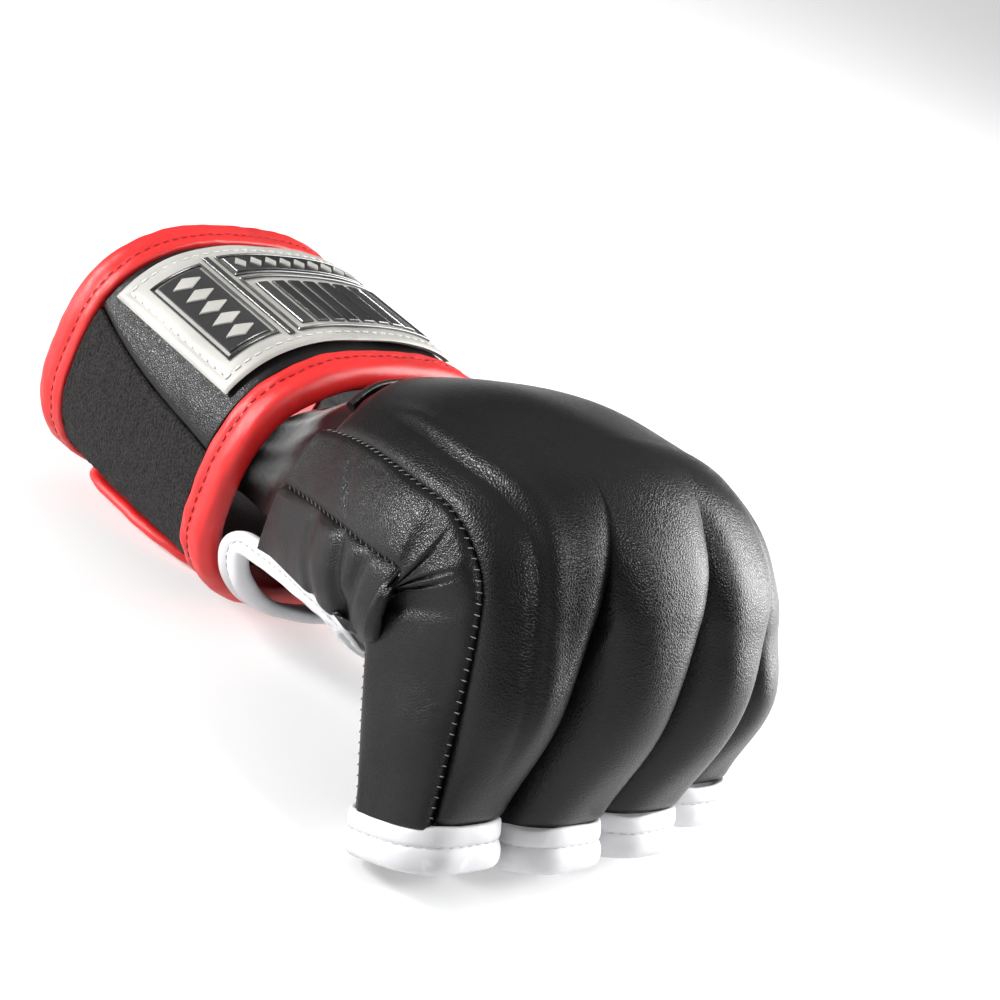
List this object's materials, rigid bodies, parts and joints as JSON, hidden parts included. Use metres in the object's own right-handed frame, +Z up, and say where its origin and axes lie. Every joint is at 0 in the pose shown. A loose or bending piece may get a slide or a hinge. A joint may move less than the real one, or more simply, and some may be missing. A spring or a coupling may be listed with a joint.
{
  "type": "grappling glove",
  "caption": "Left-hand open-palm padded leather glove with half-finger sleeves, a padded back and knuckles, and a wrist cuff closed by a hook-and-loop strap.",
  "frame": {"origin": "on the surface it lies on, under the middle of the cuff", "axes": "+X towards the little finger, +Y from the knuckles to the wrist, +Z up through the back of the hand"},
  "size_m": [0.1062, 0.1638, 0.087],
  "materials": {
    "black_leather": "fine grain, soft sheen",
    "red_leather": "smooth, satin",
    "white_leather": "smooth, satin",
    "loop_fabric": "brushed loop pile",
    "hook_fabric": "hook tape",
    "lining_fabric": "woven",
    "patch_rubber": "satin moulded",
    "emblem_rubber": "glossy moulded",
    "pad_foam": "closed-cell foam"
  },
  "bodies": {
    "hand": {"cuff_base_band": "black_leather", "cuff_lining": "lining_fabric", "cuff_loop_panel": "loop_fabric", "cuff_back_panel": "black_leather", "cuff_proximal_binding": "red_leather", "cuff_distal_binding": "red_leather", "patch_base": "patch_rubber", "patch_emblem": "emblem_rubber", "wrist_collar": "black_leather", "backhand_piping": "black_leather", "backhand_leather": "black_leather", "backhand_foam": "pad_foam", "backhand_lining": "lining_fabric", "thumb_side_strip": "black_leather", "thumb_web_panel": "black_leather", "ulnar_side_panel": "black_leather", "palm_ulnar_panel": "black_leather", "palm_finger_panel": "black_leather", "palm_opening_binding": "white_leather"},
    "strap_side": {"strap_side": "black_leather", "strap_side_proximal_binding": "red_leather", "strap_side_distal_binding": "red_leather"},
    "strap_tab": {"strap_tab": "black_leather", "strap_tab_binding": "red_leather", "strap_hook_panel": "hook_fabric"},
    "index_finger": {"index_pad_leather": "black_leather", "index_pad_foam": "pad_foam", "index_sleeve": "black_leather", "index_hem": "white_leather", "index_knuckle_pad": "black_leather", "index_side_strip": "black_leather"},
    "middle_finger": {"middle_pad_leather": "black_leather", "middle_pad_foam": "pad_foam", "middle_sleeve": "black_leather", "middle_hem": "white_leather", "middle_knuckle_pad": "black_leather"},
    "ring_finger": {"ring_pad_leather": "black_leather", "ring_pad_foam": "pad_foam", "ring_sleeve": "black_leather", "ring_hem": "white_leather", "ring_knuckle_pad": "black_leather"},
    "little_finger": {"little_pad_leather": "black_leather", "little_pad_foam": "pad_foam", "little_sleeve": "black_leather", "little_hem": "white_leather", "little_knuckle_pad": "black_leather"}
  },
  "joints": [
    {"name": "index_knuckle", "type": "hinge", "parent": "hand", "child": "index_finger", "pos_m": [-0.0385, -0.094, 0.0532], "axis": [-1, 0, 0], "range_deg": [0, 70], "stiffness_Nm_per_rad": 0.35, "deforming": ["index_knuckle_pad"]},
    {"name": "middle_knuckle", "type": "hinge", "parent": "hand", "child": "middle_finger", "pos_m": [-0.0123, -0.098, 0.0542], "axis": [-1, 0, 0], "range_deg": [0, 70], "stiffness_Nm_per_rad": 0.35, "deforming": ["middle_knuckle_pad"]},
    {"name": "ring_knuckle", "type": "hinge", "parent": "hand", "child": "ring_finger", "pos_m": [0.0132, -0.0985, 0.0519], "axis": [-1, 0, 0], "range_deg": [0, 70], "stiffness_Nm_per_rad": 0.35, "deforming": ["ring_knuckle_pad"]},
    {"name": "little_knuckle", "type": "hinge", "parent": "hand", "child": "little_finger", "pos_m": [0.0379, -0.095, 0.0464], "axis": [-1, 0, 0], "range_deg": [0, 70], "stiffness_Nm_per_rad": 0.35, "deforming": ["little_knuckle_pad"]},
    {"name": "strap_fold", "type": "hinge", "parent": "hand", "child": "strap_side", "pos_m": [0.04197, 0, 0.05174], "axis": [0, -1, 0], "range_deg": [0, 100]},
    {"name": "strap_tab_fold", "type": "hinge", "parent": "strap_side", "child": "strap_tab", "pos_m": [0.0367, 0, 0.01064], "axis": [0, -1, 0], "range_deg": [0, 150]}
  ]
}
